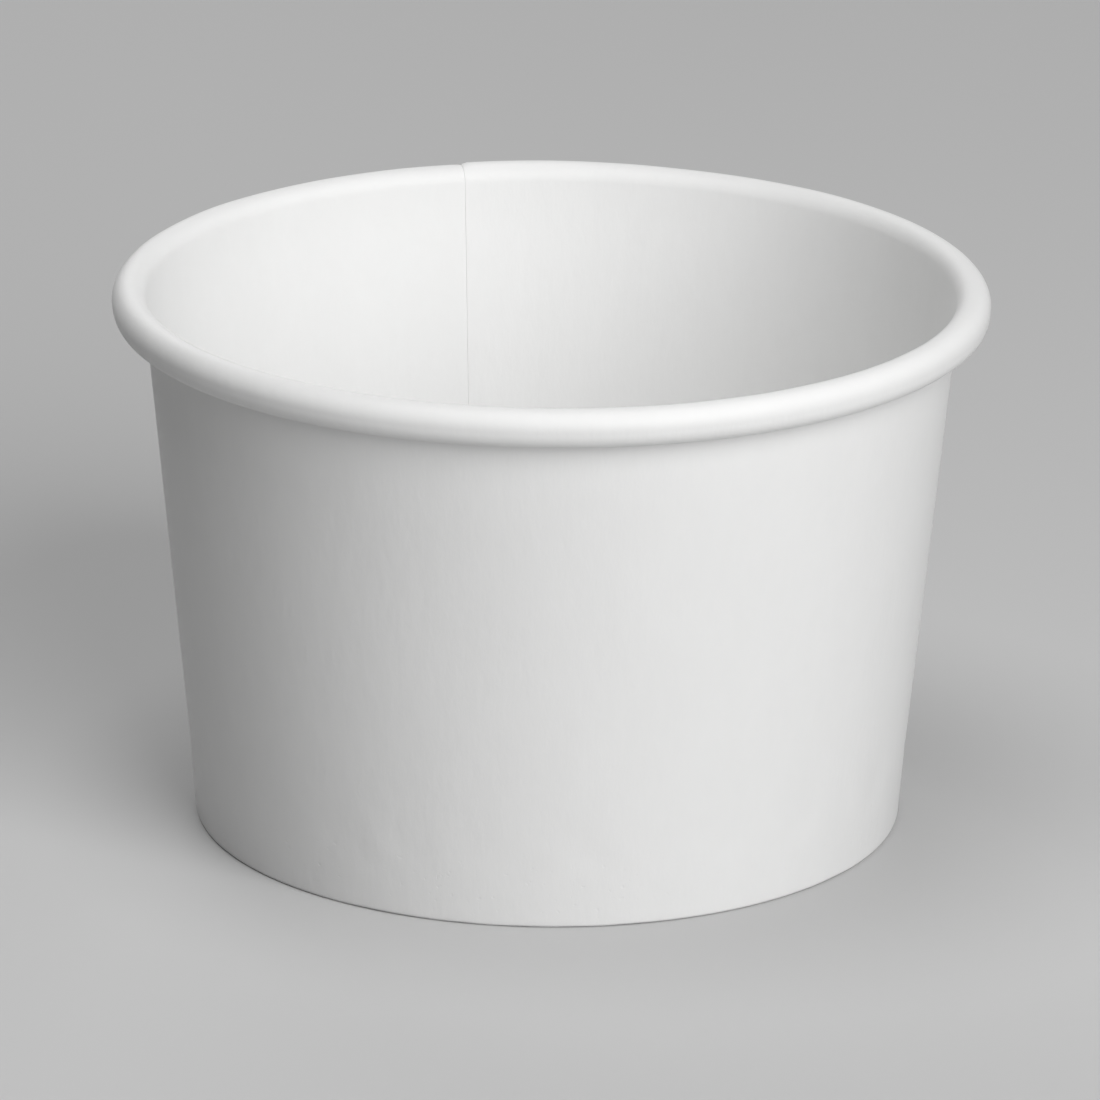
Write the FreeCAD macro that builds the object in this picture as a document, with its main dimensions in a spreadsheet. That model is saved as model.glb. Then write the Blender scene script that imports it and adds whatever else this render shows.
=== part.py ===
"""Paper sundae cup: a tapered paperboard tub with a rolled rim, glued from two blanks.

side_wall is the fan-shaped blank: bent to a cone, lapped and glued to itself at +Y, rolled outward
at the top and folded inward at the foot. base_disc is the round blank whose skirt the foot holds.
The cup stands on z = 0 about the Z axis. All lengths are millimetres and all angles are degrees.
"""
import FreeCAD, Part
import os
from math import asin, atan2, cos, pi, radians, sin, tan

import Sketcher
from FreeCAD import Vector

SIZES = {
    # the cup as a whole
    "rim_diameter": 95.0,
    "cup_height": 60.0,
    "foot_diameter": 77.2,
    # board of the side wall, and the roll that it makes at the rim
    "wall_board": 0.35,
    "roll_radius": 1.87,
    "roll_side": 0.38,
    "roll_gap": 0.08,
    # the pressed band round the foot, and the fold under it
    "base_height": 7.0,
    "band_above_base": 1.5,
    "band_lean": 4.7,
    "fold_inner_radius": 0.05,
    # the bottom blank in its pocket
    "base_board": 0.30,
    "base_bend": 0.15,
    "glue_gap": 0.02,
    "hem_clearance": 0.70,
    "skirt_clearance": 0.10,
    # the side seam, where the ends of the blank lap
    "lap_angle": 11.0,
    "lap_rise": 0.27,
    "lap_above_fold": 0.20,
    "lap_press": 1.00,
    "lap_below_roll": 0.30,
    "jog_angle": 2.0,
    "seam_angle": 0.24,
    "seam_depth": 0.20,
    # the roll over the lap: thicker by the step, down each side of its crest and faded out beside it
    "rim_step": 0.18,
    "rim_cover": 50.0,
    "rim_taper": 38.0,
    "rim_fade_angle": 9.0,
    "rim_fade_end": 0.10,
    # how deep an added layer starts inside the board that carries it
    "layer_root": 0.06,
}

# Places that several sketches share, as expressions of the sheet
BAND_TOP = "(Sizes.base_height + Sizes.band_above_base)"
BAND_OUT = "Sizes.foot_diameter / 2 + %s * tan(Sizes.band_lean)" % BAND_TOP
HEM_TOP = "(Sizes.base_height - Sizes.base_board - Sizes.hem_clearance)"
POCKET = "(Sizes.base_board + 2 * Sizes.glue_gap)"
FOLD_TOP = "(Sizes.fold_inner_radius + Sizes.wall_board)"
ROLL_OUT = "Sizes.rim_diameter / 2 - Sizes.roll_radius"
ROLL_UP = "Sizes.cup_height - Sizes.roll_radius"

# A sketch's names for the points of an edge and for its own two axes
START, END, CENTRE = range(1, 4)
ACROSS, UPRIGHT = range(-1, -3, -1)


# Document and sheet of sizes
doc = FreeCAD.newDocument("paper_sundae_cup")
sheet = doc.addObject("Spreadsheet::Sheet", "Sizes")
for row, (name, number) in enumerate(SIZES.items(), start=1):
    sheet.set("A%d" % row, name)
    sheet.set("B%d" % row, str(number))
    sheet.setAlias("B%d" % row, name)
doc.recompute()


def size_of(name):
    """One size of the sheet."""
    return float(sheet.get(name))


# Sketches
def polar(angle, radius=1.0):
    """The point of a sketch at an angle in radians and a radius."""
    return Vector(cos(angle), sin(angle), 0) * radius


def sketch_in(body, label, turn=None):
    """A sketch in the half plane from the axis to +Y, which turn, an expression, swings about the axis."""
    plane = [datum for datum in body.Origin.OriginFeatures if datum.Role == "YZ_Plane"][0]
    sketch = body.newObject("Sketcher::SketchObject", label)
    sketch.AttachmentSupport = [(plane, "")]
    sketch.MapMode = "FlatFace"
    if turn:
        sketch.AttachmentOffset = FreeCAD.Placement(Vector(), FreeCAD.Rotation(Vector(0, 1, 0), 1))
        sketch.setExpression(".AttachmentOffset.Rotation.Angle", turn)
    return sketch


def line(sketch, start, end, guide=False):
    """A straight edge."""
    return sketch.addGeometry(Part.LineSegment(start, end), guide)


def arc(sketch, centre, radius, first, last, guide=False):
    """A round edge, counter-clockwise from the angle first to the angle last, in radians."""
    circle = Part.Circle(centre, Vector(0, 0, 1), radius)
    return sketch.addGeometry(Part.ArcOfCircle(circle, first, last), guide)


def rule(sketch, kind, *where):
    """A constraint that has no number."""
    sketch.addConstraint(Sketcher.Constraint(kind, *where))


def join(sketch, *ends):
    """Each pair of ends in one point."""
    for first, second in zip(ends[::2], ends[1::2]):
        rule(sketch, "Coincident", *first, *second)


def blend(sketch, *ends):
    """Each pair of ends in one point, with no corner there."""
    for first, second in zip(ends[::2], ends[1::2]):
        rule(sketch, "Tangent", *first, *second)


def drawn(sketch, kind, where):
    """What a dimension measures in the sketch as it is drawn."""
    if kind == "Radius":
        return sketch.Geometry[where[0]].Radius
    if kind == "Angle":
        along = sketch.Geometry[where[0]].EndPoint - sketch.Geometry[where[0]].StartPoint
        return atan2(along.y, along.x)
    if len(where) == 1:
        return sketch.Geometry[where[0]].length()
    point = sketch.getPoint(where[0], where[1])
    if kind == "DistanceX":
        return point.x
    if kind == "DistanceY":
        return point.y
    edge = sketch.Geometry[where[2]]
    along = (edge.EndPoint - edge.StartPoint).normalize()
    return (point - edge.StartPoint).cross(along).Length


def size(sketch, kind, where, expression):
    """A dimension that starts as drawn and is bound to the sheet."""
    index = sketch.addConstraint(Sketcher.Constraint(kind, *where, drawn(sketch, kind, where)))
    sketch.setExpression("Constraints[%d]" % index, expression)


class Outline:
    """The outer face of one layer of the wall's board, in a sketch: x from the axis, y up.

    The band leans out from the foot. The wall goes on from the top of the band and touches the
    inside of the roll, whose place comes from the rim's diameter and the cup's height. The roll is
    a little taller than wide: between the round of its crest and that of its underside lies a
    straight side as steep as the wall.
    """

    def __init__(self):
        self.board = size_of("wall_board")
        self.lean = radians(size_of("band_lean"))
        top = size_of("base_height") + size_of("band_above_base")
        self.foot = Vector(size_of("foot_diameter") / 2, 0, 0)
        self.kink = self.foot + Vector(top * tan(self.lean), top, 0)
        self.roll = size_of("roll_radius")
        self.centre = Vector(size_of("rim_diameter") / 2 - self.roll, size_of("cup_height") - self.roll, 0)
        reach = self.centre - self.kink
        self.slope = atan2(reach.x, reach.y) - asin((self.roll - self.board) / reach.Length)
        self.up = polar(pi / 2 - self.slope)
        self.out = polar(-self.slope)
        self.band_up = polar(pi / 2 - self.lean)
        self.band_out = polar(-self.lean)
        self.low_centre = self.centre - self.up * size_of("roll_side")

    def on_band(self, height, inward):
        """The point at a height on the band's outer face moved inward."""
        start = self.foot - self.band_out * inward
        return start + self.band_up * ((height - start.y) / self.band_up.y)

    def at_kink(self, inward):
        """The corner where the band's and the wall's outer faces meet when both are moved inward."""
        half = (self.lean + self.slope) / 2
        return self.kink - polar(-half, inward / cos(self.slope - half))

    def beside_roll(self, inward, below=0.0):
        """The point on the wall's outer face moved inward, level with the roll's lower centre or below."""
        return self.low_centre - self.out * (self.roll - self.board + inward) - self.up * below

    def draw(self, sketch):
        """The guides of a sketch: band, wall, the roll's crest, and the line between its two centres."""
        band = line(sketch, self.foot, self.kink, True)
        rule(sketch, "PointOnObject", band, START, ACROSS)
        size(sketch, "DistanceX", (band, START), "Sizes.foot_diameter / 2")
        size(sketch, "DistanceY", (band, END), BAND_TOP)
        size(sketch, "DistanceX", (band, END), BAND_OUT)
        radius = self.roll - self.board
        wall = line(sketch, self.kink, self.centre - self.out * radius, True)
        crest = arc(sketch, self.centre, radius, 0, pi - self.slope, True)
        join(sketch, (band, END), (wall, START))
        blend(sketch, (wall, END), (crest, END))
        rule(sketch, "Horizontal", crest, CENTRE, crest, START)
        size(sketch, "DistanceX", (crest, CENTRE), ROLL_OUT)
        size(sketch, "DistanceY", (crest, CENTRE), ROLL_UP)
        size(sketch, "Radius", (crest,), "Sizes.roll_radius - Sizes.wall_board")
        between = line(sketch, self.centre, self.low_centre, True)
        join(sketch, (between, START), (crest, CENTRE))
        rule(sketch, "Parallel", between, wall)
        size(sketch, "Distance", (between,), "Sizes.roll_side")
        return band, wall, crest, between


def body_named(label):
    """An empty body at the origin."""
    body = doc.addObject("PartDesign::Body", label)
    body.Label = label
    body.Placement = FreeCAD.Placement()
    return body


def turn_about_axis(body, label, sketch, angle, centred=False, cut=False):
    """A sketch turned about the cup's axis, or the cut that it makes."""
    kind = "PartDesign::Groove" if cut else "PartDesign::Revolution"
    feature = body.newObject(kind, label)
    feature.Profile = sketch
    feature.ReferenceAxis = (sketch, ["V_Axis"])
    feature.Midplane = centred
    feature.setExpression("Angle", angle)


def loft_between(body, label, sketches):
    """The solid through sketches on planes a few degrees apart."""
    feature = body.newObject("PartDesign::AdditiveLoft", label)
    feature.Profile = sketches[0]
    feature.Sections = sketches[1:]
    feature.Ruled = len(sketches) == 2


# The side wall: one layer of board from the hem under the base to the tucked end of the roll
def roll_edges(sketch, outline, radius):
    """The crest, the straight side and the underside of one face of the roll."""
    slope, out = outline.slope, outline.out * radius
    return (arc(sketch, outline.centre, radius, -slope, pi - slope),
            line(sketch, outline.centre + out, outline.low_centre + out),
            arc(sketch, outline.low_centre, radius, -pi / 2 - slope, -slope))


def board_section(sketch):
    """The closed outline of one layer of board: food face up and round the roll, outer face back."""
    outline = Outline()
    band_guide, wall_guide, crest_guide, between = outline.draw(sketch)
    board = outline.board
    fold = size_of("fold_inner_radius")
    pocket = size_of("base_board") + 2 * size_of("glue_gap")
    hem_top = size_of("base_height") - size_of("base_board") - size_of("hem_clearance")
    lean, slope = outline.lean, outline.slope
    # centres of the fold's outer and inner corner
    outer_fold = outline.on_band(fold + board, fold + board)
    inner_fold = outline.on_band(fold + board, board + pocket - fold)
    tucked_radius = outline.roll - board - size_of("roll_gap")
    tucked = outline.low_centre - outline.up * (outline.roll - tucked_radius)

    # the face that meets the food, seen from the hem's cut edge upward and over the rim
    hem_end = outline.on_band(hem_top, 2 * board + pocket)
    food_side = [
        line(sketch, hem_end + outline.band_out * board, inner_fold - outline.band_out * fold),
        arc(sketch, inner_fold, fold, pi - lean, 1.5 * pi),
        line(sketch, inner_fold - Vector(0, fold, 0), outer_fold - Vector(0, fold, 0)),
        arc(sketch, outer_fold, fold, 1.5 * pi, 2 * pi - lean),
        line(sketch, outer_fold + outline.band_out * fold, outline.at_kink(board)),
        line(sketch, outline.at_kink(board), outline.centre - outline.out * outline.roll),
        *roll_edges(sketch, outline, outline.roll),
        arc(sketch, tucked, tucked_radius, pi / 2 - slope, 1.5 * pi - slope),
    ]
    # the other face, between the same ends
    deep = fold + board
    other_side = [
        line(sketch, hem_end, inner_fold - outline.band_out * deep),
        arc(sketch, inner_fold, deep, pi - lean, 1.5 * pi),
        line(sketch, inner_fold - Vector(0, deep, 0), outer_fold - Vector(0, deep, 0)),
        arc(sketch, outer_fold, deep, 1.5 * pi, 2 * pi - lean),
        line(sketch, outer_fold + outline.band_out * deep, outline.kink),
        line(sketch, outline.kink, outline.centre - outline.out * (outline.roll - board)),
        *roll_edges(sketch, outline, outline.roll - board),
        arc(sketch, tucked, tucked_radius - board, pi / 2 - slope, 1.5 * pi - slope),
    ]
    for side in (food_side, other_side):
        hem, fold_in, foot, fold_out, band, wall, crest, flank, under, tuck = side
        blend(sketch, (hem, END), (fold_in, START), (fold_in, END), (foot, START),
              (foot, END), (fold_out, START), (fold_out, END), (band, START))
        join(sketch, (band, END), (wall, START))
        blend(sketch, (wall, END), (crest, END), (crest, START), (flank, START),
              (flank, END), (under, END), (under, START), (tuck, END))
        rule(sketch, "Parallel", hem, band_guide)
        join(sketch, (crest, CENTRE), (between, START), (under, CENTRE), (between, END))
    for corner in (1, 3, 9):
        join(sketch, (food_side[corner], CENTRE), (other_side[corner], CENTRE))
    hem_edge = line(sketch, hem_end + outline.band_out * board, hem_end)
    roll_end = tucked + outline.up * tucked_radius
    roll_edge = line(sketch, roll_end, roll_end - outline.up * board)
    join(sketch, (hem_edge, START), (food_side[0], START), (hem_edge, END), (other_side[0], START),
         (roll_edge, START), (food_side[9], START), (roll_edge, END), (other_side[9], START))
    rule(sketch, "Perpendicular", hem_edge, band_guide)
    rule(sketch, "Parallel", roll_edge, wall_guide)
    rule(sketch, "PointOnObject", food_side[9], CENTRE, roll_edge)

    # the outer face lies on the guide and stands on the foot's plane
    rule(sketch, "PointOnObject", other_side[2], START, ACROSS)
    rule(sketch, "Horizontal", other_side[2])
    rule(sketch, "PointOnObject", other_side[4], START, band_guide)
    join(sketch, (other_side[4], END), (band_guide, END))
    rule(sketch, "Parallel", food_side[4], band_guide)
    rule(sketch, "Parallel", food_side[5], wall_guide)
    spoke = line(sketch, outline.low_centre, outline.low_centre - outline.up * outline.roll, True)
    join(sketch, (spoke, START), (between, END), (spoke, END), (food_side[8], START))
    rule(sketch, "Parallel", spoke, wall_guide)

    size(sketch, "DistanceY", (other_side[0], START), HEM_TOP)
    size(sketch, "Distance", (other_side[0], START, band_guide), "2 * Sizes.wall_board + %s" % POCKET)
    for corner in (food_side[1], food_side[3]):
        size(sketch, "Radius", (corner,), "Sizes.fold_inner_radius")
    for corner in (other_side[1], other_side[3]):
        size(sketch, "Radius", (corner,), FOLD_TOP)
    for corner in (6, 8):
        size(sketch, "Radius", (food_side[corner],), "Sizes.roll_radius")
        size(sketch, "Radius", (other_side[corner],), "Sizes.roll_radius - Sizes.wall_board")
    size(sketch, "Radius", (food_side[9],), "Sizes.roll_radius - Sizes.wall_board - Sizes.roll_gap")


def strip_section(sketch, near, far, near_foot, far_foot):
    """The outline of a strip that follows the band and the wall from the foot to the roll.

    near and far are pairs: how far the strip's faces lie inside the wall's outer face, and the
    expression of that distance. near_foot and far_foot give the heights of its lower corners.
    """
    outline = Outline()
    band_guide, wall_guide, crest_guide, between = outline.draw(sketch)
    below = size_of("lap_below_roll")
    edges = []
    for inward, low in ((near[0], near_foot[0]), (far[0], far_foot[0])):
        edges += [line(sketch, outline.on_band(low, inward), outline.at_kink(inward)),
                  line(sketch, outline.at_kink(inward), outline.beside_roll(inward, below))]
    near_band, near_wall, far_band, far_wall = edges
    foot = line(sketch, *[sketch.getPoint(edge, START) for edge in (near_band, far_band)])
    top = line(sketch, *[sketch.getPoint(edge, END) for edge in (near_wall, far_wall)])
    join(sketch, (near_band, END), (near_wall, START), (far_band, END), (far_wall, START),
         (foot, START), (near_band, START), (foot, END), (far_band, START),
         (top, START), (near_wall, END), (top, END), (far_wall, END))
    for edge, guide in zip(edges, (band_guide, wall_guide, band_guide, wall_guide)):
        rule(sketch, "Parallel", edge, guide)
    rule(sketch, "Perpendicular", top, wall_guide)
    size(sketch, "Distance", (between, END, top), "Sizes.lap_below_roll")
    size(sketch, "Distance", (near_band, START, band_guide), near[1])
    size(sketch, "Distance", (near_wall, END, wall_guide), near[1])
    size(sketch, "Distance", (far_band, START, band_guide), far[1])
    size(sketch, "Distance", (far_wall, END, wall_guide), far[1])
    size(sketch, "DistanceY", (near_band, START), near_foot[1])
    size(sketch, "DistanceY", (far_band, START), far_foot[1])


def lap_section(sketch, rise, formula):
    """The lapped layer: rooted in the board that carries it, its own face rising out of the wall's."""
    root = size_of("layer_root")
    low = size_of("fold_inner_radius") + size_of("wall_board") + size_of("lap_above_fold")
    strip_section(sketch, (root, "Sizes.layer_root"), (-rise, formula),
                  (low, FOLD_TOP + " + Sizes.lap_above_fold"),
                  (low + size_of("lap_press"), FOLD_TOP + " + Sizes.lap_above_fold + Sizes.lap_press"))


def rim_section(sketch, rise):
    """The second layer in the roll: a band on its skin, round the crest at 45 degrees.

    It stands out by that share of rim_step, and its sides taper into the board that carries it.
    """
    outline = Outline()
    crest_guide = outline.draw(sketch)[2]
    cover = radians(size_of("rim_cover"))
    taper = radians(size_of("rim_taper"))
    step = size_of("rim_step") * rise
    root = size_of("layer_root")
    skin = arc(sketch, outline.centre, outline.roll + step, pi / 4 - cover, pi / 4 + cover)
    base = arc(sketch, outline.centre, outline.roll - root, pi / 4 - cover - taper, pi / 4 + cover + taper)
    join(sketch, (skin, CENTRE), (crest_guide, CENTRE), (base, CENTRE), (crest_guide, CENTRE))
    for edge, reach in ((skin, "Sizes.rim_cover"), (base, "(Sizes.rim_cover + Sizes.rim_taper)")):
        for end, sign in ((START, "-"), (END, "+")):
            spoke = line(sketch, outline.centre, sketch.getPoint(edge, end), True)
            join(sketch, (spoke, START), (crest_guide, CENTRE), (spoke, END), (edge, end))
            size(sketch, "Angle", (spoke,), "45 %s %s" % (sign, reach))
    for end in (START, END):
        side = line(sketch, sketch.getPoint(skin, end), sketch.getPoint(base, end))
        join(sketch, (side, START), (skin, end), (side, END), (base, end))
    size(sketch, "Radius", (skin,), "Sizes.roll_radius + Sizes.rim_step * %.4f" % rise)
    size(sketch, "Radius", (base,), "Sizes.roll_radius - Sizes.layer_root")


def groove_section(sketch):
    """The cut beside the inner end's edge: from the cup's inside to seam_depth in the food face."""
    board, root, base_top = size_of("wall_board"), size_of("layer_root"), size_of("base_height")
    strip_section(sketch, (board + root, "Sizes.wall_board + Sizes.layer_root"),
                  (board - size_of("seam_depth"), "Sizes.wall_board - Sizes.seam_depth"),
                  (base_top, "Sizes.base_height"), (base_top, "Sizes.base_height"))


side_wall = body_named("side_wall")
section = sketch_in(side_wall, "board_section")
board_section(section)
turn_about_axis(side_wall, "board_ring", section, "360")

layer = sketch_in(side_wall, "lap_section")
lap_section(layer, size_of("lap_rise"), "Sizes.lap_rise")
turn_about_axis(side_wall, "lap_layer", layer, "Sizes.lap_angle", centred=True)

# the outer end dips back to the wall's own face beside the inner end's cut edge
jog_top = sketch_in(side_wall, "jog_top", "Sizes.lap_angle / 2")
lap_section(jog_top, size_of("lap_rise"), "Sizes.lap_rise")
jog_foot = sketch_in(side_wall, "jog_foot", "Sizes.lap_angle / 2 + Sizes.jog_angle")
lap_section(jog_foot, -size_of("layer_root") / 2, "Sizes.layer_root / 2")
loft_between(side_wall, "lap_jog", (jog_top, jog_foot))

# the roll over the lap ends in a step at that cut edge and fades out on the other side
rim_layer = sketch_in(side_wall, "rim_section")
rim_section(rim_layer, 1)
turn_about_axis(side_wall, "rim_lap", rim_layer, "Sizes.lap_angle", centred=True)
fade = []
for share in (0, 1 / 3, 2 / 3, 1):
    turn = "-Sizes.lap_angle / 2 - Sizes.rim_fade_angle * %.4f" % share
    fade.append(sketch_in(side_wall, "rim_fade_%d" % len(fade), turn))
    faded = (1 - cos(pi * share)) / 2
    rim_section(fade[-1], 1 - faded * (1 - size_of("rim_fade_end")))
loft_between(side_wall, "rim_fade", fade)

groove = sketch_in(side_wall, "seam_section", "Sizes.lap_angle / 2")
groove_section(groove)
turn_about_axis(side_wall, "seam_groove", groove, "Sizes.seam_angle", cut=True)


# The bottom blank: a flat disc whose edge is turned down into the pocket of the foot
def base_section(sketch):
    """Half of the disc and its skirt, which lies a glue gap inside the wall's food face."""
    outline = Outline()
    band_guide = outline.draw(sketch)[0]
    board = size_of("base_board")
    bend = size_of("base_bend")
    top = size_of("base_height")
    foot = outline.board + size_of("fold_inner_radius") + size_of("skirt_clearance")
    outside = outline.board + size_of("glue_gap")
    bend_centre = outline.on_band(top - board - bend, outside + board + bend)
    skirt_foot = outline.on_band(foot, outside)
    faces = []
    for radius, height, inward in ((bend + board, top, 0), (bend, top - board, board)):
        flat = line(sketch, Vector(0, height, 0), Vector(bend_centre.x, height, 0))
        corner = arc(sketch, bend_centre, radius, -outline.lean, pi / 2)
        skirt = line(sketch, bend_centre + outline.band_out * radius, skirt_foot - outline.band_out * inward)
        blend(sketch, (flat, END), (corner, END), (corner, START), (skirt, START))
        rule(sketch, "PointOnObject", flat, START, UPRIGHT)
        rule(sketch, "Horizontal", flat)
        rule(sketch, "Parallel", skirt, band_guide)
        faces.append((flat, corner, skirt))
    (upper, outer_corner, outer_skirt), (under, inner_corner, inner_skirt) = faces
    middle = line(sketch, Vector(0, top, 0), Vector(0, top - board, 0))
    cut_edge = line(sketch, skirt_foot, skirt_foot - outline.band_out * board)
    join(sketch, (middle, START), (upper, START), (middle, END), (under, START),
         (cut_edge, START), (outer_skirt, END), (cut_edge, END), (inner_skirt, END))
    rule(sketch, "Perpendicular", cut_edge, band_guide)
    size(sketch, "DistanceY", (upper, START), "Sizes.base_height")
    size(sketch, "DistanceY", (under, START), "Sizes.base_height - Sizes.base_board")
    size(sketch, "DistanceY", (outer_skirt, END),
         "Sizes.wall_board + Sizes.fold_inner_radius + Sizes.skirt_clearance")
    size(sketch, "Distance", (outer_skirt, END, band_guide), "Sizes.wall_board + Sizes.glue_gap")
    size(sketch, "Distance", (inner_skirt, END, band_guide),
         "Sizes.wall_board + Sizes.glue_gap + Sizes.base_board")
    size(sketch, "Radius", (inner_corner,), "Sizes.base_bend")
    size(sketch, "Radius", (outer_corner,), "Sizes.base_bend + Sizes.base_board")


base_disc = body_named("base_disc")
disc_section = sketch_in(base_disc, "disc_section")
base_section(disc_section)
turn_about_axis(base_disc, "disc", disc_section, "360")


# Check every object before anything is written
doc.recompute()
for thing in doc.Objects:
    if "Invalid" in thing.State or "Error" in thing.State:
        raise RuntimeError("%s could not be made" % thing.Label)
    if thing.isDerivedFrom("Sketcher::SketchObject") and not thing.FullyConstrained:
        print(thing.Label, "has a free dimension")
os.makedirs("parts", exist_ok=True)
for body in (side_wall, base_disc):
    if body.Shape.isNull() or not body.Shape.isValid() or len(body.Shape.Solids) != 1:
        raise RuntimeError("%s is not one valid solid" % body.Label)
for body in (side_wall, base_disc):
    body.Shape.exportStep("parts/%s.step" % body.Label)
    print(body.Label, round(body.Shape.Volume, 2), "cubic millimetres")
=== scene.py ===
"""Paper sundae cup: the looks of the side wall and the base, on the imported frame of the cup."""

import bpy
import numpy as np
from mathutils import Matrix, Vector


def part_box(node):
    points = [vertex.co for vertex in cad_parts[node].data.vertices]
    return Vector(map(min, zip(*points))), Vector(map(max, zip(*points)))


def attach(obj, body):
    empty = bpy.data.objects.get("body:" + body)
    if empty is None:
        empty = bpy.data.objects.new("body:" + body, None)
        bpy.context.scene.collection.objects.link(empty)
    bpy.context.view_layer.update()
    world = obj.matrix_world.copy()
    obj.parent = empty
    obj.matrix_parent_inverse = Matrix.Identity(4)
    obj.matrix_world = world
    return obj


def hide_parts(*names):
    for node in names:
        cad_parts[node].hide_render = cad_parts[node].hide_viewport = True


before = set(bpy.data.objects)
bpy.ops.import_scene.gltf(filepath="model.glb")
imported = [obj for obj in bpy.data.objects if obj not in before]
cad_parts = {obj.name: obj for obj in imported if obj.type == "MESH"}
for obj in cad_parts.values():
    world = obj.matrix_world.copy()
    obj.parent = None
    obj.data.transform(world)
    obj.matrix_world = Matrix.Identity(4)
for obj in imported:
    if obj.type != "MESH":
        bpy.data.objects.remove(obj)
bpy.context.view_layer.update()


# Side wall
# One fan-shaped blank of coated cup board, bent to a cone with its ends lapped and glued at +Y.
# A curling die rolls its top edge outward into the rim, and its bottom edge is folded inward and
# up as a hem. The food face is coated, so it is a little smoother and whiter than the outer face.
MM = 0.001
WALL_BOARD = 0.35 * MM
ROLL_RADIUS = 1.87 * MM
ROLL_SIDE = 0.38 * MM
ROLL_GAP = 0.08 * MM
RIM_STEP = 0.18 * MM
BAND_HEIGHT = 8.5 * MM
BAND_LEAN = np.radians(4.7)
FOOT_RADIUS = 38.6 * MM
FOLD_RADIUS = 0.05 * MM
BASE_BOARD = 0.30 * MM
GLUE_GAP = 0.02 * MM
HEM_CLEARANCE = 0.70 * MM

# the lap: half its angle in degrees, the outer end's rise, and the heights between which it starts
LAP_EDGE = 5.5
LAP_RISE = 0.27 * MM
LAP_FOOT = (0.6 * MM, 1.6 * MM)
# the widths of the jog, the groove, the rim's fade and the cut edges, in degrees round the cup
JOG_WIDTH = 2.0
GROOVE_WIDTH = 0.42
FADE_WIDTH = 20.0
EDGE_WIDTH = 0.012
GROOVE_DEPTH = 0.10 * MM
# the roll's thicker skin reaches this far down each side of its crest, then tapers off, in degrees
SKIN_COVER = 50
SKIN_TAPER = 30

# the small unevenness of a pressed and rolled board
OUT_OF_ROUND = 0.03 * MM
ROLL_RIPPLE = 0.025 * MM
FOOT_RIPPLE = 0.05 * MM
FOOT_RIPPLE_HEIGHT = 2 * MM
BAND_RIPPLE = 0.055 * MM
BAND_RIPPLE_REACH = 3 * MM
# pits lie within this share of the band's height from its middle
PIT_REACH = 0.62
WALL_COLUMNS = 400

rim_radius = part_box("side_wall")[1].x
cup_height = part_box("side_wall")[1].z - RIM_STEP
base_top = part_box("base_disc")[1].z


def polar(angle):
    """The unit vector at an angle in the half plane of the axis: x outward, y up."""
    return np.array([np.cos(angle), np.sin(angle)])


def straight(start, end, side, count):
    """Points from start towards end, evenly spaced, each with the same side vector."""
    share = np.arange(count)[:, None] / count
    return start + (end - start) * share, np.tile(side, (count, 1))


def bend(centre, radius, first, last, count, sense):
    """Points of an arc from angle first towards last, with side vectors out of (+1) or into (-1) it."""
    angles = first + (last - first) * np.arange(count) / count
    spokes = np.stack([np.cos(angles), np.sin(angles)], 1)
    return centre + radius * spokes, sense * spokes


def on_band(height, inward):
    """The point at a height on the band's line moved inward: its outer face is inward 0."""
    up, out = polar(np.pi / 2 - BAND_LEAN), polar(-BAND_LEAN)
    start = np.array([FOOT_RADIUS, 0]) - out * inward
    return start + up * (height - start[1]) / up[1]


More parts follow.
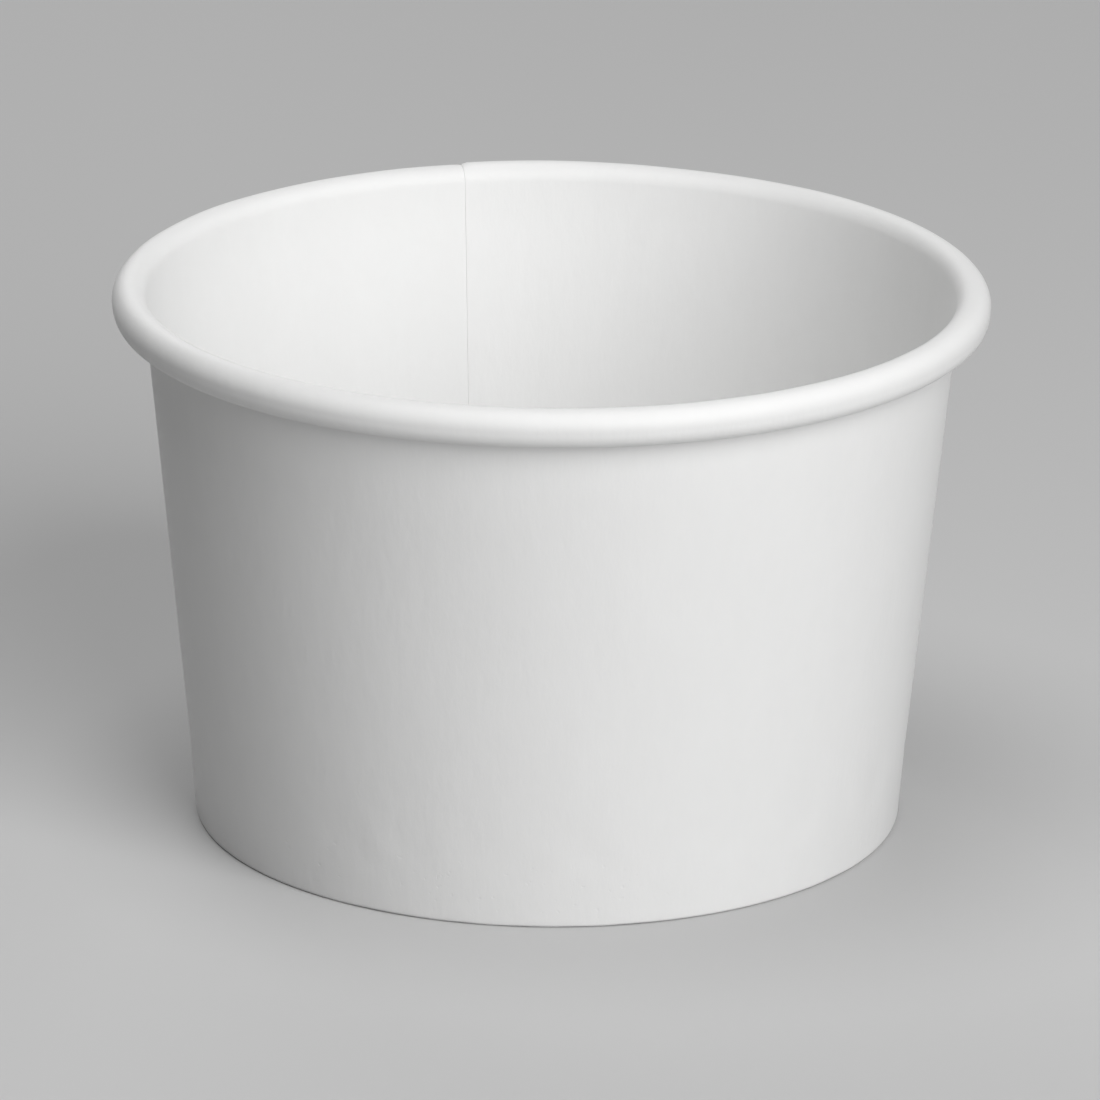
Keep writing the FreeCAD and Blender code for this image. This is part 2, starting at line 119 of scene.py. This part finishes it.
def wall_outline():
    """The food face of the wall's board, from the hem's cut edge to the roll's tucked edge.

    Straight runs and arcs that touch each other: hem, two fold corners round the foot, band, wall,
    half a turn over the roll's crest, its straight side, a quarter turn under it, and the half turn
    tucked inside. Returns the points, the vectors that point through the board, the index where
    each stretch starts, and the centres of the crest and of the tucked turn.
    """
    roll_centre = np.array([rim_radius - ROLL_RADIUS, cup_height - ROLL_RADIUS])
    band_out = polar(-BAND_LEAN)
    kink = np.array([FOOT_RADIUS + BAND_HEIGHT * np.tan(BAND_LEAN), BAND_HEIGHT])
    reach = roll_centre - kink
    slope = np.arctan2(*reach) - np.arcsin((ROLL_RADIUS - WALL_BOARD) / np.hypot(*reach))
    wall_up, wall_out = polar(np.pi / 2 - slope), polar(-slope)

    pocket = BASE_BOARD + 2 * GLUE_GAP
    fold_height = FOLD_RADIUS + WALL_BOARD
    outer_fold = on_band(fold_height, fold_height)
    inner_fold = on_band(fold_height, WALL_BOARD + pocket - FOLD_RADIUS)
    hem_top = on_band(base_top - BASE_BOARD - HEM_CLEARANCE, WALL_BOARD + pocket)
    turn = (BAND_LEAN + slope) / 2
    food_kink = kink - polar(-turn) * WALL_BOARD / np.cos(slope - turn)
    tuck_radius = ROLL_RADIUS - WALL_BOARD - ROLL_GAP
    low_centre = roll_centre - wall_up * ROLL_SIDE
    tuck_centre = low_centre - wall_up * (ROLL_RADIUS - tuck_radius)
    side = wall_out * ROLL_RADIUS
    quarter = np.pi / 2
    stretches = {
        "hem": straight(hem_top, inner_fold - band_out * FOLD_RADIUS, -band_out, 4),
        "fold_in": bend(inner_fold, FOLD_RADIUS, 2 * quarter - BAND_LEAN, 3 * quarter, 6, 1),
        "foot": straight(inner_fold - [0, FOLD_RADIUS], outer_fold - [0, FOLD_RADIUS],
                         polar(-quarter), 2),
        "fold_out": bend(outer_fold, FOLD_RADIUS, 3 * quarter, 4 * quarter - BAND_LEAN, 8, 1),
        "band": straight(outer_fold + band_out * FOLD_RADIUS, food_kink, band_out, 14),
        "wall": straight(food_kink, roll_centre - side, wall_out, 24),
        "crest": bend(roll_centre, ROLL_RADIUS, 2 * quarter - slope, -slope, 30, -1),
        "side": straight(roll_centre + side, low_centre + side, -wall_out, 3),
        "under": bend(low_centre, ROLL_RADIUS, -slope, -quarter - slope, 15, -1),
        "tuck": bend(tuck_centre, tuck_radius, 3 * quarter - slope, quarter - slope, 12, -1),
    }
    starts = np.cumsum([0] + [len(points) for points, _ in stretches.values()])
    points, through = (np.concatenate(part) for part in zip(*stretches.values()))
    return points, through, dict(zip(stretches, starts)), roll_centre, tuck_centre


def ease(share):
    """A smooth step from 0 to 1: three times the square less twice the cube of the clipped share."""
    share = np.clip(share, 0, 1)
    return share * share * (3 - 2 * share)


def ripple(angles, orders, seed):
    """A smooth closed wave round the cup, about -1 to 1: cosines of whole orders with random phases."""
    draw = np.random.default_rng(seed)
    phases = draw.uniform(0, 2 * np.pi, len(orders))
    weights = draw.uniform(0.5, 1, len(orders))
    waves = np.cos(np.outer(angles, orders) + phases) * weights
    return waves.sum(1) / np.sqrt((weights ** 2).sum() * 2)


def wall_columns():
    """Angles in degrees from +Y, counter-clockwise from above, once round from the inner end's cut edge.

    They are even, with more of them in the groove and on the outer end's cut edge.
    """
    even = LAP_EDGE + np.linspace(0, 360, WALL_COLUMNS, endpoint=False)
    near_groove = LAP_EDGE + EDGE_WIDTH + np.array([0, 0.03, 0.07, 0.12, 0.2, 0.3, 0.45, 0.65])
    near_lap = 360 - LAP_EDGE + np.array([-4, -1, 1, 4]) * EDGE_WIDTH
    return np.unique(np.concatenate([even, near_groove, near_lap]))


def wall_grid():
    """Where each point of the outline stands in each column.

    A point is the food face plus its through vector times a depth. The depth is 0 on the food
    face and the board's thickness on the other, plus the lap, the groove at the inner end's cut
    edge, the thicker roll over the lap, and the ripples. Returns the points by row and column, the
    marks of each point, the way along the board of each row, and the columns' angles.
    """
    points, through, start, roll_centre, tuck_centre = wall_outline()
    count = len(points)
    degrees = wall_columns()
    angles = np.radians(degrees)
    past = degrees - LAP_EDGE
    before = 360 - LAP_EDGE - degrees
    lapped = before < 0
    index = np.arange(count)
    height = points[:, 1]
    on_roll = (index >= start["crest"]) & (index < start["tuck"])
    on_tuck = index >= start["tuck"]
    on_wall = (index >= start["band"]) & (index < start["crest"])

    # the roll's skin: full over the lap, a sharp end at the inner end's edge, faded on the other side
    spoke = points - np.where(on_tuck[:, None], tuck_centre, roll_centre)
    direction = np.arctan2(spoke[:, 1], spoke[:, 0])
    crest = np.abs((direction - np.pi / 4 + np.pi) % (2 * np.pi) - np.pi)
    skin = np.where(on_roll, 1 - ease((np.degrees(crest) - SKIN_COVER) / SKIN_TAPER), 0)
    thick_roll = np.where(lapped, 1, ease(1 - before / FADE_WIDTH))
    food = -RIM_STEP * np.outer(skin, thick_roll)
    roll_wave = ROLL_RIPPLE * ripple(angles, np.arange(5, 26), 11)
    roll_share = (index - start["crest"]) / (start["tuck"] - start["crest"])
    food += np.outer(on_roll * np.sin(np.clip(roll_share, 0, 1) * np.pi), roll_wave)

    # the groove, where the outer end dips under the inner end's edge
    groove = GROOVE_DEPTH * np.exp(-past / GROOVE_WIDTH)
    groove[past < EDGE_WIDTH / 2] = 0
    visible = on_wall | on_roll
    food += np.outer(visible * ease((height - base_top + MM) / MM), groove)

    # the outer face: the lap is sharp at the outer end's cut edge and jogs back past the inner end
    layer = np.where(lapped, 1, 1 - ease(past / JOG_WIDTH))
    pressed = ease((height - LAP_FOOT[0]) / (LAP_FOOT[1] - LAP_FOOT[0]))
    other = WALL_BOARD + LAP_RISE * np.outer(on_wall * pressed, layer)
    # the tucked end gives way to the lap beside it
    beside = np.where(on_tuck, np.clip(-spoke[:, 0] / (ROLL_RADIUS - WALL_BOARD), 0, 1) ** 2, 0)
    give = LAP_RISE * np.outer(beside, layer)
    food += give
    other += give

    # the band's uneven pressing moves both faces alike
    from_kink = np.abs(height - BAND_HEIGHT) / BAND_RIPPLE_REACH
    band_share = np.where(index >= start["band"], 1 - from_kink, 0)
    press = BAND_RIPPLE * np.outer(ease(band_share), ripple(angles, np.arange(7, 40), 5))
    food -= press
    other -= press

    outline = np.concatenate([points, points[::-1]])
    sides = np.concatenate([through, through[::-1]])
    depth = np.concatenate([food, other[::-1]])
    radius = outline[:, :1] + sides[:, :1] * depth
    level = outline[:, 1:] + sides[:, 1:] * depth
    # out of round towards the rim, and a foot that stands on the lowest spots of its fold
    radius += OUT_OF_ROUND * np.outer(ease(outline[:, 1] / cup_height), ripple(angles, [2, 3], 3))
    lift = FOOT_RIPPLE * (0.5 + 0.5 * ripple(angles, np.arange(9, 45), 8))
    level += np.outer(1 - ease(outline[:, 1] / FOOT_RIPPLE_HEIGHT), lift)
    turned = angles + np.pi / 2
    food_face = np.arange(2 * count) < count
    every = np.ones(len(degrees))
    # the marks that the material reads: the outer end's cut edge shows the raw middle of the board,
    # warmer than the faces, and darkened further as painted shade for the seam's shadow line
    marks = {
        "food": np.outer(food_face, every),
        "band": np.outer(ease(1 - np.abs(outline[:, 1] / BAND_HEIGHT - 0.5) / PIT_REACH), every),
        "roll": np.outer(np.concatenate([on_roll, on_roll[::-1]]), every),
        "raw_edge_and_shade": np.outer(~food_face, np.abs(before) < 2 * EDGE_WIDTH),
    }
    length = np.concatenate([[0], np.cumsum(np.hypot(*np.diff(points, axis=0).T))])
    grid = np.stack([radius * np.cos(turned), radius * np.sin(turned), level], -1)
    return grid, marks, np.concatenate([length, length[::-1]]), np.append(angles, angles[0] + 2 * np.pi)


def quads_of(rows, columns):
    """Four corner indices for each cell of a grid that closes on itself both ways."""
    row, column = np.meshgrid(np.arange(rows), np.arange(columns), indexing="ij")
    row, column = row.ravel(), column.ravel()
    next_row, next_column = (row + 1) % rows, (column + 1) % columns
    return np.stack([row * columns + column, row * columns + next_column,
                     next_row * columns + next_column, next_row * columns + column], 1)


SHARP_ANGLE = np.radians(35)


def make_piece(name, vertices, faces):
    """A mesh object at the origin, shaded smooth except at edges over SHARP_ANGLE."""
    mesh = bpy.data.meshes.new(name)
    mesh.from_pydata(vertices.tolist(), [], faces)
    mesh.shade_smooth()
    mesh.set_sharp_from_angle(angle=SHARP_ANGLE)
    piece = bpy.data.objects.new(name, mesh)
    bpy.context.scene.collection.objects.link(piece)
    return piece


def mark(mesh, name, values):
    """A number for each vertex, which the material reads by name."""
    attribute = mesh.attributes.new(name, "FLOAT", "POINT")
    attribute.data.foreach_set("value", np.asarray(values, np.float32).ravel())


grid, marks, along, around = wall_grid()
rows, columns = grid.shape[:2]
wall = make_piece("side_wall_board", grid.reshape(-1, 3), quads_of(rows, columns).tolist())
for name, values in marks.items():
    mark(wall.data, name, values)
# the board's own flat place, in metres: round the cup and along the blank, at each face's corners
u = np.tile(around, (rows + 1, 1)) * FOOT_RADIUS
v = np.tile(np.append(along, along[0])[:, None], (1, columns + 1))
corner = [(slice(None, -1), slice(None, -1)), (slice(None, -1), slice(1, None)),
          (slice(1, None), slice(1, None)), (slice(1, None), slice(None, -1))]
places = np.stack([np.stack([u[c], v[c]], -1).reshape(-1, 2) for c in corner], 1)
layer = wall.data.uv_layers.new(name="board")
layer.data.foreach_set("uv", places.astype(np.float32).ravel())


def add_node(tree, kind, settings=None, **inputs):
    """A shader node with its settings and its inputs, values or links, by name with _ for spaces."""
    node = tree.nodes.new(kind)
    for key, value in (settings or {}).items():
        setattr(node, key, value)
    for key, value in inputs.items():
        socket = node.inputs[key.replace("_", " ")]
        if isinstance(value, bpy.types.NodeSocket):
            tree.links.new(value, socket)
        else:
            socket.default_value = value
    return node


# the cut edge's colour: the warmer raw fibre of the board, darkened further as painted shade for the
# shadow line along the seam
RAW_EDGE_AND_SHADE = (0.74, 0.72, 0.68, 1)
DARKEST_CLOUD = 0.97
PIT_LEVELS = (0.66, 0.78)
ROUGHNESS_SPREAD = 0.12
COATING_IOR = 1.45
COATING_SHINE = 0.25
# the depths of the board's unevenness, in metres
TOOTH_DEPTH = 0.006 * MM
FIBRE_DEPTH = 0.036 * MM
CLOUD_DEPTH = 0.065 * MM
LINE_DEPTH = 0.014 * MM
PIT_DEPTH = 0.020 * MM


def board_material(name, plain, coated, rough, smooth):
    """Cup board: soft cloudy white with a fine fibre tooth, coated where the food mark is 1.

    Height is the sum of the fine tooth, the fibres, a slow cloudiness, fine lines across the roll,
    and small pits in the pressed band. Colour is the face's colour times a grey that the clouds and
    the fibres share. plain and rough are the colour and roughness of the outer face, coated and
    smooth those of the food face. A cut edge is a little warmer, as raw board, and darker as
    painted shade for the shadow line along the seam.
    """
    material = bpy.data.materials.new(name)
    material.use_nodes = True
    tree = material.node_tree
    tree.nodes.clear()
    place = add_node(tree, "ShaderNodeTexCoord").outputs["Object"]
    flat = add_node(tree, "ShaderNodeUVMap", {"uv_map": "board"}).outputs["UV"]

    def noise(vector, scale, detail, stretch=(1, 1, 1)):
        moved = add_node(tree, "ShaderNodeMapping", Vector=vector, Scale=stretch)
        return add_node(tree, "ShaderNodeTexNoise", Vector=moved.outputs["Vector"], Scale=scale,
                        Detail=detail, Roughness=0.6).outputs["Fac"]

    def maths(operation, first, second):
        node = tree.nodes.new("ShaderNodeMath")
        node.operation = operation
        for socket, value in zip(node.inputs, (first, second)):
            if isinstance(value, bpy.types.NodeSocket):
                tree.links.new(value, socket)
            else:
                socket.default_value = value
        return node.outputs["Value"]

    def marked(attribute):
        return add_node(tree, "ShaderNodeAttribute", {"attribute_name": attribute}).outputs["Fac"]

    # repeats in a metre, levels of detail, and the stretch of the place along its three axes
    cloud = noise(place, 160, 3, (1, 1, 0.5))
    tooth = noise(place, 2600, 4, (1, 1, 0.7))
    fibre = noise(place, 900, 5, (1, 1, 0.35))
    lines = noise(flat, 1500, 2, (1, 0.06, 1))
    speck = noise(place, 1400, 1)
    pit = add_node(tree, "ShaderNodeMapRange", {"interpolation_type": "SMOOTHSTEP"}, Value=speck,
                   From_Min=PIT_LEVELS[0], From_Max=PIT_LEVELS[1],
                   To_Min=0.0, To_Max=-1.0).outputs["Result"]
    shade = add_node(tree, "ShaderNodeMapRange", Value=cloud, From_Min=0.3, From_Max=0.7,
                     To_Min=0.0, To_Max=1.0).outputs["Result"]
    fleck = add_node(tree, "ShaderNodeMapRange", Value=fibre, From_Min=0.35, From_Max=0.65,
                     To_Min=0.35, To_Max=0.65).outputs["Result"]
    mix = maths("ADD", maths("MULTIPLY", shade, 0.5), maths("MULTIPLY", fleck, 0.5))
    ramp = add_node(tree, "ShaderNodeValToRGB", Fac=mix)
    ramp.color_ramp.elements[0].color = (DARKEST_CLOUD, DARKEST_CLOUD, DARKEST_CLOUD, 1)
    ramp.color_ramp.elements[1].color = (1, 1, 1, 1)
    face = add_node(tree, "ShaderNodeMixRGB", Fac=marked("food"),
                    Color1=(*plain, 1), Color2=(*coated, 1))
    # the cut edge: raw board colour, with painted shade for the seam's shadow line
    edge_and_shade = add_node(tree, "ShaderNodeMixRGB", Fac=marked("raw_edge_and_shade"), Color1=face.outputs["Color"],
                    Color2=RAW_EDGE_AND_SHADE)
    colour = add_node(tree, "ShaderNodeMixRGB", {"blend_type": "MULTIPLY"}, Fac=1.0,
                      Color1=edge_and_shade.outputs["Color"], Color2=ramp.outputs["Color"])
    evenly = add_node(tree, "ShaderNodeMapRange", Value=marked("food"), From_Min=0.0, From_Max=1.0,
                      To_Min=rough, To_Max=smooth).outputs["Result"]
    uneven = maths("MULTIPLY", maths("SUBTRACT", tooth, 0.5), ROUGHNESS_SPREAD)
    roughness = maths("ADD", evenly, uneven)
    total = maths("MULTIPLY", tooth, TOOTH_DEPTH)
    for source, depth in ((fibre, FIBRE_DEPTH), (cloud, CLOUD_DEPTH),
                          (maths("MULTIPLY", lines, marked("roll")), LINE_DEPTH),
                          (maths("MULTIPLY", pit, marked("band")), PIT_DEPTH)):
        total = maths("ADD", total, maths("MULTIPLY", source, depth))
    bump = add_node(tree, "ShaderNodeBump", Height=total, Strength=1.0, Distance=1.0)
    shader = add_node(tree, "ShaderNodeBsdfPrincipled", Base_Color=colour.outputs["Color"],
                      Roughness=roughness, IOR=COATING_IOR, Specular_IOR_Level=COATING_SHINE,
                      Normal=bump.outputs["Normal"])
    output = tree.nodes.new("ShaderNodeOutputMaterial")
    tree.links.new(shader.outputs["BSDF"], output.inputs["Surface"])
    return material


wall.data.materials.append(board_material(
    "white_wall_board", plain=(0.92, 0.92, 0.915), coated=(0.925, 0.925, 0.92), rough=0.60, smooth=0.52))
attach(wall, "root")
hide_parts("side_wall")


# Base disc
# A round blank of the same kind of board, a little thinner. Its edge is turned down as a skirt,
# which is glued in the pocket between the wall and its hem, and the drawn-in disc bows up slightly.
BASE_BEND = 0.15 * MM
SKIRT_FOOT = 0.50 * MM
BASE_BOW = 0.10 * MM
BASE_WAVE = 0.03 * MM
BASE_RINGS = 25
BASE_COLUMNS = 240


def base_grid():
    """The base's section, turned round the axis.

    The section runs from near the middle of the top, over the bend and round the skirt's edge, to
    near the middle below. Top and underside rise alike by the bow, which falls with the square of
    the radius, and by a wave that grows towards the edge. Returns the points by row and column,
    without the two middle points, and the number of rows on the food face.
    """
    lean_out = polar(-BAND_LEAN)
    outside = WALL_BOARD + GLUE_GAP
    inside = outside + BASE_BOARD
    centre = on_band(base_top - BASE_BOARD - BASE_BEND, inside + BASE_BEND)
    foot = on_band(SKIRT_FOOT, outside)
    top, under = (np.array([centre[0], base_top - drop]) for drop in (0, BASE_BOARD))
    corners = []
    for flat, radius, inward in ((top, BASE_BEND + BASE_BOARD, 0), (under, BASE_BEND, BASE_BOARD)):
        radial = straight(np.array([0, flat[1]]), flat, lean_out, BASE_RINGS)[0][1:]
        round_corner = bend(centre, radius, np.pi / 2, -BAND_LEAN, 7, 1)[0]
        skirt_end = foot - lean_out * inward
        skirt = straight(centre + lean_out * radius, skirt_end, lean_out, 5)[0]
        corners.append(np.concatenate([radial, round_corner, skirt, [skirt_end]]))
    outline = np.concatenate([corners[0], corners[1][::-1]])
    angles = np.linspace(0, 2 * np.pi, BASE_COLUMNS, endpoint=False)
    share = np.clip(outline[:, 0] / centre[0], 0, 1)
    flat_part = outline[:, 1] > base_top - BASE_BOARD - BASE_BEND / 2
    rise = flat_part * (1 - share ** 2) * BASE_BOW
    wave = np.outer(flat_part * share ** 2 * (1 - share ** 4), ripple(angles, np.arange(2, 9), 21))
    level = outline[:, 1:] + rise[:, None] + BASE_WAVE * wave
    radius = np.repeat(outline[:, :1], BASE_COLUMNS, 1)
    return np.stack([radius * np.cos(angles), radius * np.sin(angles), level], -1), len(corners[0])


grid, food_rows = base_grid()
rows, columns = grid.shape[:2]
middles = np.array([[0, 0, base_top + BASE_BOW], [0, 0, base_top + BASE_BOW - BASE_BOARD]])
faces = quads_of(rows, columns).reshape(rows, columns, 4)[:-1].reshape(-1, 4)[:, ::-1].tolist()
ring = np.arange(columns)
after = (ring + 1) % columns
last_row = (rows - 1) * columns
faces += np.stack([np.full(columns, rows * columns), ring, after], 1).tolist()
faces += np.stack([np.full(columns, rows * columns + 1), last_row + after, last_row + ring], 1).tolist()
base = make_piece("base_disc_board", np.concatenate([grid.reshape(-1, 3), middles]), faces)
mark(base.data, "food", np.concatenate([np.repeat(np.arange(rows) < food_rows, columns), [1, 0]]))
base.data.materials.append(board_material(
    "white_base_board", plain=(0.90, 0.90, 0.895), coated=(0.92, 0.92, 0.915), rough=0.62, smooth=0.48))
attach(base, "root")
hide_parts("base_disc")


# Floor
# A plain pale surface that the cup stands on. What it throws back onto the cup is a little weaker,
# as from a matt grey card. Far from the cup it fades into the pale background.
FLOOR_HALF = 12.0
FLOOR_GREY = 0.62
FLOOR_BOUNCE = 0.38
FLOOR_ROUGHNESS = 0.9
FADE_START = 0.5
FADE_END = 1.6
BACKGROUND = 0.45
corners = [(x * FLOOR_HALF, y * FLOOR_HALF, 0) for x, y in ((-1, -1), (1, -1), (1, 1), (-1, 1))]
floor_mesh = bpy.data.meshes.new("floor")
floor_mesh.from_pydata(corners, [], [(0, 1, 2, 3)])
floor = bpy.data.objects.new("floor", floor_mesh)
bpy.context.scene.collection.objects.link(floor)
floor_material = bpy.data.materials.new("floor_paper")
floor_material.use_nodes = True
floor_tree = floor_material.node_tree
floor_shader = floor_tree.nodes["Principled BSDF"]
floor_shader.inputs["Roughness"].default_value = FLOOR_ROUGHNESS


def seen_or_hit(tree, hit, seen):
    """The number seen where the camera looks, also in a shiny piece, and hit for light that bounces."""
    path = add_node(tree, "ShaderNodeLightPath")
    looks = path.outputs["Is Camera Ray"]
    for kind in ("Is Glossy Ray", "Is Transmission Ray"):
        either = tree.nodes.new("ShaderNodeMath")
        either.operation = "MAXIMUM"
        tree.links.new(looks, either.inputs[0])
        tree.links.new(path.outputs[kind], either.inputs[1])
        looks = either.outputs["Value"]
    return add_node(tree, "ShaderNodeMapRange", Value=looks, From_Min=0.0, From_Max=1.0,
                    To_Min=hit, To_Max=seen).outputs["Result"]


floor_grey = seen_or_hit(floor_tree, FLOOR_BOUNCE, FLOOR_GREY)
floor_tree.links.new(floor_grey, floor_shader.inputs["Base Color"])
floor_place = add_node(floor_tree, "ShaderNodeTexCoord").outputs["Object"]
floor_reach = add_node(floor_tree, "ShaderNodeVectorMath", {"operation": "LENGTH"}, Vector=floor_place)
floor_fade = add_node(floor_tree, "ShaderNodeMapRange", {"interpolation_type": "SMOOTHSTEP"},
                      Value=floor_reach.outputs["Value"], From_Min=FADE_START, From_Max=FADE_END,
                      To_Min=0.0, To_Max=seen_or_hit(floor_tree, 0.0, 1.0))
floor_far = add_node(floor_tree, "ShaderNodeEmission", Strength=BACKGROUND)
floor_mix = add_node(floor_tree, "ShaderNodeMixShader", Fac=floor_fade.outputs["Result"])
floor_tree.links.new(floor_shader.outputs["BSDF"], floor_mix.inputs[1])
floor_tree.links.new(floor_far.outputs["Emission"], floor_mix.inputs[2])
floor_output = floor_tree.nodes["Material Output"]
floor_tree.links.new(floor_mix.outputs["Shader"], floor_output.inputs["Surface"])
floor_material.cycles.emission_sampling = "NONE"
floor_mesh.materials.append(floor_material)


# Light and camera
# One large soft lamp stands in front and to the right, above the rim. A weaker one hangs overhead,
# a little to the left, and fills the inside, and a weak one stands behind. The world adds a little.
WORLD_LIGHT = 0.12
# angles are in degrees, lengths in metres, and the lens and the sensor in millimetres
CAMERA_TURN = -7.5
CAMERA_RISE = 18.699
CAMERA_DISTANCE = 0.9533
CAMERA_ROLL = 0.523
AIM_HEIGHT = 0.02925
AIM_SIDE = 0.000070
LENS = 285.9
SENSOR = 36


def towards(turn, rise):
    """The unit vector from the cup at a turn and a rise in degrees: turn 0 is at -Y, 90 at +X."""
    turn, rise = np.radians([turn, rise])
    return Vector((np.sin(turn) * np.cos(rise), -np.cos(turn) * np.cos(rise), np.sin(rise)))


def aimed(place, target):
    """The rotation that points an object's -Z from place to target, with its Y up."""
    return (target - place).to_track_quat("-Z", "Y").to_matrix().to_4x4()


# turn and rise are in degrees, with turn counted from the camera, and power is in watts
LAMPS = {
    "key": {"turn": 32.0, "rise": 29.0, "distance": 1.1, "size": 0.9, "power": 9.45},
    "top": {"turn": -80.0, "rise": 80.0, "distance": 1.1, "size": 0.7, "power": 3.6},
    "back": {"turn": 192.0, "rise": 24.0, "distance": 1.3, "size": 0.7, "power": 2.7},
}
for name, lamp in LAMPS.items():
    light = bpy.data.lights.new(name, "AREA")
    light.shape = "DISK"
    light.size = lamp["size"]
    light.energy = lamp["power"]
    place = towards(CAMERA_TURN + lamp["turn"], lamp["rise"]) * lamp["distance"]
    holder = bpy.data.objects.new(name, light)
    holder.matrix_world = Matrix.Translation(place) @ aimed(place, Vector((0, 0, AIM_HEIGHT)))
    bpy.context.scene.collection.objects.link(holder)

world = bpy.data.worlds.new("studio")
world.use_nodes = True
sky = world.node_tree.nodes["Background"]
sky.inputs["Color"].default_value = (1, 1, 1, 1)
world.node_tree.links.new(seen_or_hit(world.node_tree, WORLD_LIGHT, BACKGROUND), sky.inputs["Strength"])
bpy.context.scene.world = world

camera_place = towards(CAMERA_TURN, CAMERA_RISE) * CAMERA_DISTANCE + Vector((0, 0, AIM_HEIGHT))
sideways = Vector((np.cos(np.radians(CAMERA_TURN)), np.sin(np.radians(CAMERA_TURN)), 0))
camera_target = sideways * AIM_SIDE + Vector((0, 0, AIM_HEIGHT))
camera_data = bpy.data.cameras.new("camera")
camera_data.lens = LENS
camera_data.sensor_width = SENSOR
camera = bpy.data.objects.new("camera", camera_data)
roll = Matrix.Rotation(np.radians(CAMERA_ROLL), 4, "Z")
camera.matrix_world = Matrix.Translation(camera_place) @ aimed(camera_place, camera_target) @ roll
bpy.context.scene.collection.objects.link(camera)
bpy.context.scene.camera = camera
bpy.context.scene.view_settings.view_transform = "Standard"
